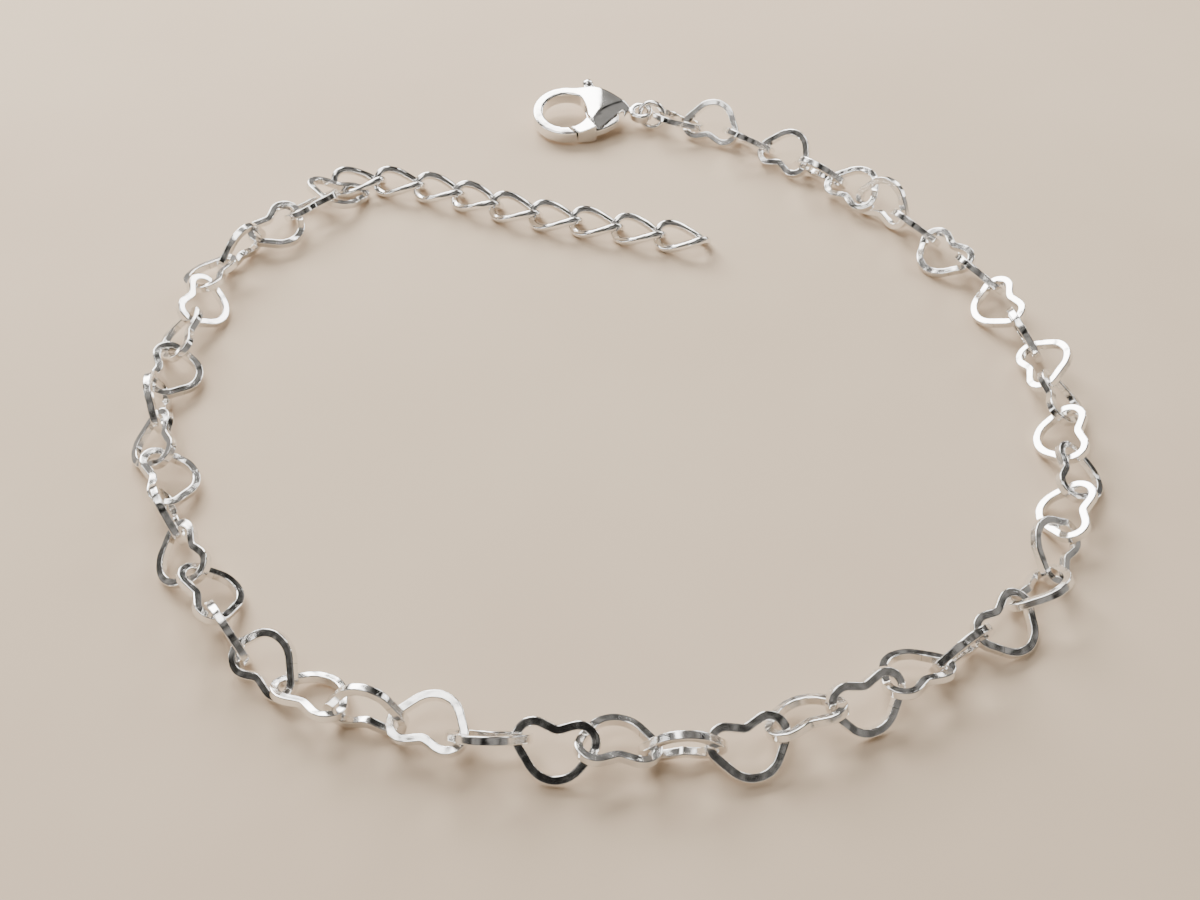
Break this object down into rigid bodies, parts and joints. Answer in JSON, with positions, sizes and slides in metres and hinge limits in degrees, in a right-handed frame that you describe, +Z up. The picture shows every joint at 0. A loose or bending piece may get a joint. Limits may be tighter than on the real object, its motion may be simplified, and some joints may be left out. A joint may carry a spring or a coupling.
{
  "type": "heart link bracelet",
  "caption": "Open bracelet chain of linked square-wire hearts with a lobster clasp on a jump ring and a curb chain extender, laid in a loop on a flat surface.",
  "frame": {"origin": "middle of the piece's footprint, on the surface it lies on", "axes": "+Z up from the surface; +Y across the loop towards the clasp; +X to the right when the clasp is at the back"},
  "size_m": [0.0668, 0.071, 0.0039],
  "materials": {
    "heart_silver": "polished silver, square drawn wire with fine draw marks",
    "curb_silver": "polished silver, tumbled round wire",
    "clasp_silver": "polished cast silver with softened edges"
  },
  "bodies": {
    "bracelet": {"heart_link_01": "heart_silver", "heart_link_02": "heart_silver", "heart_link_03": "heart_silver", "heart_link_04": "heart_silver", "heart_link_05": "heart_silver", "heart_link_06": "heart_silver", "heart_link_07": "heart_silver", "heart_link_08": "heart_silver", "heart_link_09": "heart_silver", "heart_link_10": "heart_silver", "heart_link_11": "heart_silver", "heart_link_12": "heart_silver", "heart_link_13": "heart_silver", "heart_link_14": "heart_silver", "heart_link_15": "heart_silver", "heart_link_16": "heart_silver", "heart_link_17": "heart_silver", "heart_link_18": "heart_silver", "heart_link_19": "heart_silver", "heart_link_20": "heart_silver", "heart_link_21": "heart_silver", "heart_link_22": "heart_silver", "heart_link_23": "heart_silver", "heart_link_24": "heart_silver", "heart_link_25": "heart_silver", "heart_link_26": "heart_silver", "heart_link_27": "heart_silver", "heart_link_28": "heart_silver", "heart_link_29": "heart_silver", "heart_link_30": "heart_silver", "heart_link_31": "heart_silver", "heart_link_32": "heart_silver", "heart_link_33": "heart_silver", "heart_link_34": "heart_silver", "heart_link_35": "heart_silver", "heart_link_36": "heart_silver", "heart_link_37": "heart_silver", "heart_link_38": "heart_silver", "heart_link_39": "heart_silver", "heart_link_40": "heart_silver", "heart_link_41": "heart_silver", "heart_link_42": "heart_silver", "heart_link_43": "heart_silver", "heart_link_44": "heart_silver", "heart_link_45": "heart_silver", "heart_link_46": "heart_silver", "heart_link_47": "heart_silver", "heart_link_48": "heart_silver", "extender_length_1": "curb_silver", "extender_length_2": "curb_silver", "extender_length_3": "curb_silver", "jump_ring": "clasp_silver", "clasp_body": "clasp_silver"},
    "gate": {"clasp_gate": "clasp_silver"}
  },
  "joints": [
    {"name": "gate_pivot", "type": "hinge", "parent": "bracelet", "child": "gate", "pos_m": [-0.00098, 0.03049, 0.00105], "axis": [0, 0.1736, -0.9848], "range_deg": [0, 25], "stiffness_Nm_per_rad": 0.004, "springref_deg": -17.19}
  ]
}
